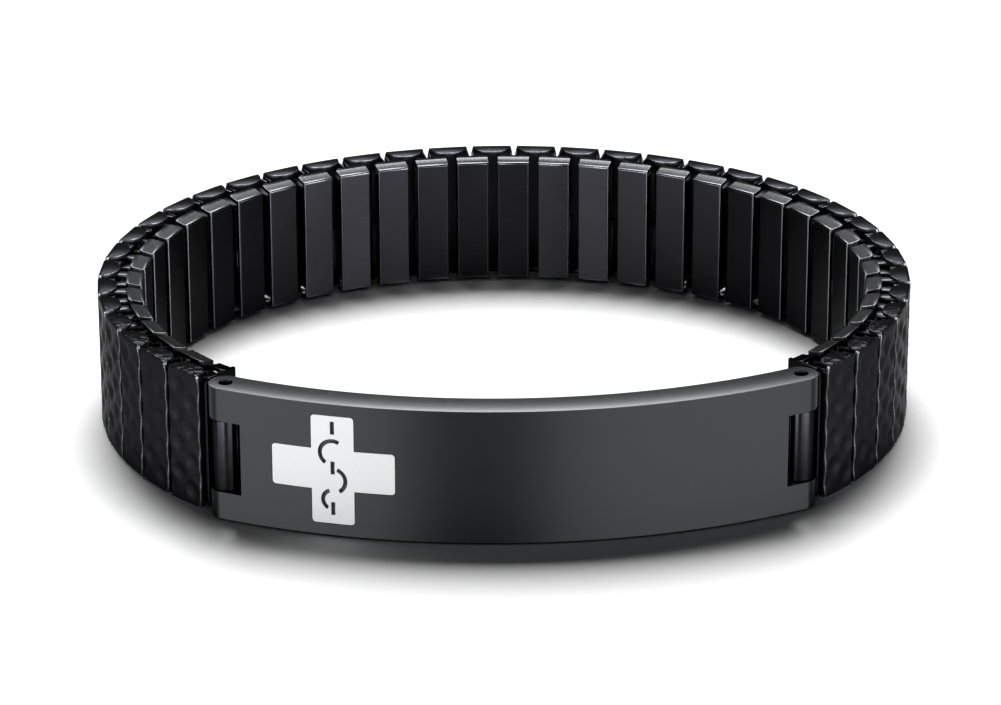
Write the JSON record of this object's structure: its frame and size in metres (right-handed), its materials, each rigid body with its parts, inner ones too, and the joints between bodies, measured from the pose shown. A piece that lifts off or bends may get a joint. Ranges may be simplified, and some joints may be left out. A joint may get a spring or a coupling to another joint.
{
  "type": "medical alert bracelet",
  "caption": "Stretch bracelet of two staggered rows of dark metal shells, hammered outside and brushed inside, hinged to a curved ID plate with a light inlaid medical cross.",
  "frame": {"origin": "middle of the bracelet's footprint, on the surface that it lies on, at the band's lower edge", "axes": "+Z along the loop's axis, across the band's width; -Y towards the ID plate; X along the plate"},
  "size_m": [0.0704, 0.0614, 0.012],
  "materials": {
    "plate_steel": "dark plated steel, fine satin face with bright polished edges",
    "emblem_steel": "bare light steel, fine matte",
    "hinge_steel": "black plated steel, polished",
    "hammered_steel": "black plated steel, hammered, satin",
    "satin_steel": "black plated steel, brushed along the band",
    "staple_steel": "spring steel strip"
  },
  "bodies": {
    "root": {"id_plate": "plate_steel", "emblem": "emblem_steel", "hinge_pin_left": "hinge_steel", "hinge_pin_right": "hinge_steel", "end_link_left": "hinge_steel", "end_link_right": "hinge_steel", "outer_shell_01": "hammered_steel", "outer_shell_02": "hammered_steel", "outer_shell_03": "hammered_steel", "outer_shell_04": "hammered_steel", "outer_shell_05": "hammered_steel", "outer_shell_06": "hammered_steel", "outer_shell_07": "hammered_steel", "outer_shell_08": "hammered_steel", "outer_shell_09": "hammered_steel", "outer_shell_10": "hammered_steel", "outer_shell_11": "hammered_steel", "outer_shell_12": "hammered_steel", "outer_shell_13": "hammered_steel", "outer_shell_14": "hammered_steel", "outer_shell_15": "hammered_steel", "outer_shell_16": "hammered_steel", "outer_shell_17": "hammered_steel", "outer_shell_18": "hammered_steel", "outer_shell_19": "hammered_steel", "outer_shell_20": "hammered_steel", "outer_shell_21": "hammered_steel", "outer_shell_22": "hammered_steel", "outer_shell_23": "hammered_steel", "outer_shell_24": "hammered_steel", "outer_shell_25": "hammered_steel", "outer_shell_26": "hammered_steel", "outer_shell_27": "hammered_steel", "outer_shell_28": "hammered_steel", "outer_shell_29": "hammered_steel", "outer_shell_30": "hammered_steel", "outer_shell_31": "hammered_steel", "outer_shell_32": "hammered_steel", "outer_shell_33": "hammered_steel", "outer_shell_34": "hammered_steel", "outer_shell_35": "hammered_steel", "outer_shell_36": "hammered_steel", "outer_shell_37": "hammered_steel", "inner_shells_left": "satin_steel", "inner_shells_right": "satin_steel", "staples_upper": "staple_steel", "staples_lower": "staple_steel"}
  },
  "joints": []
}
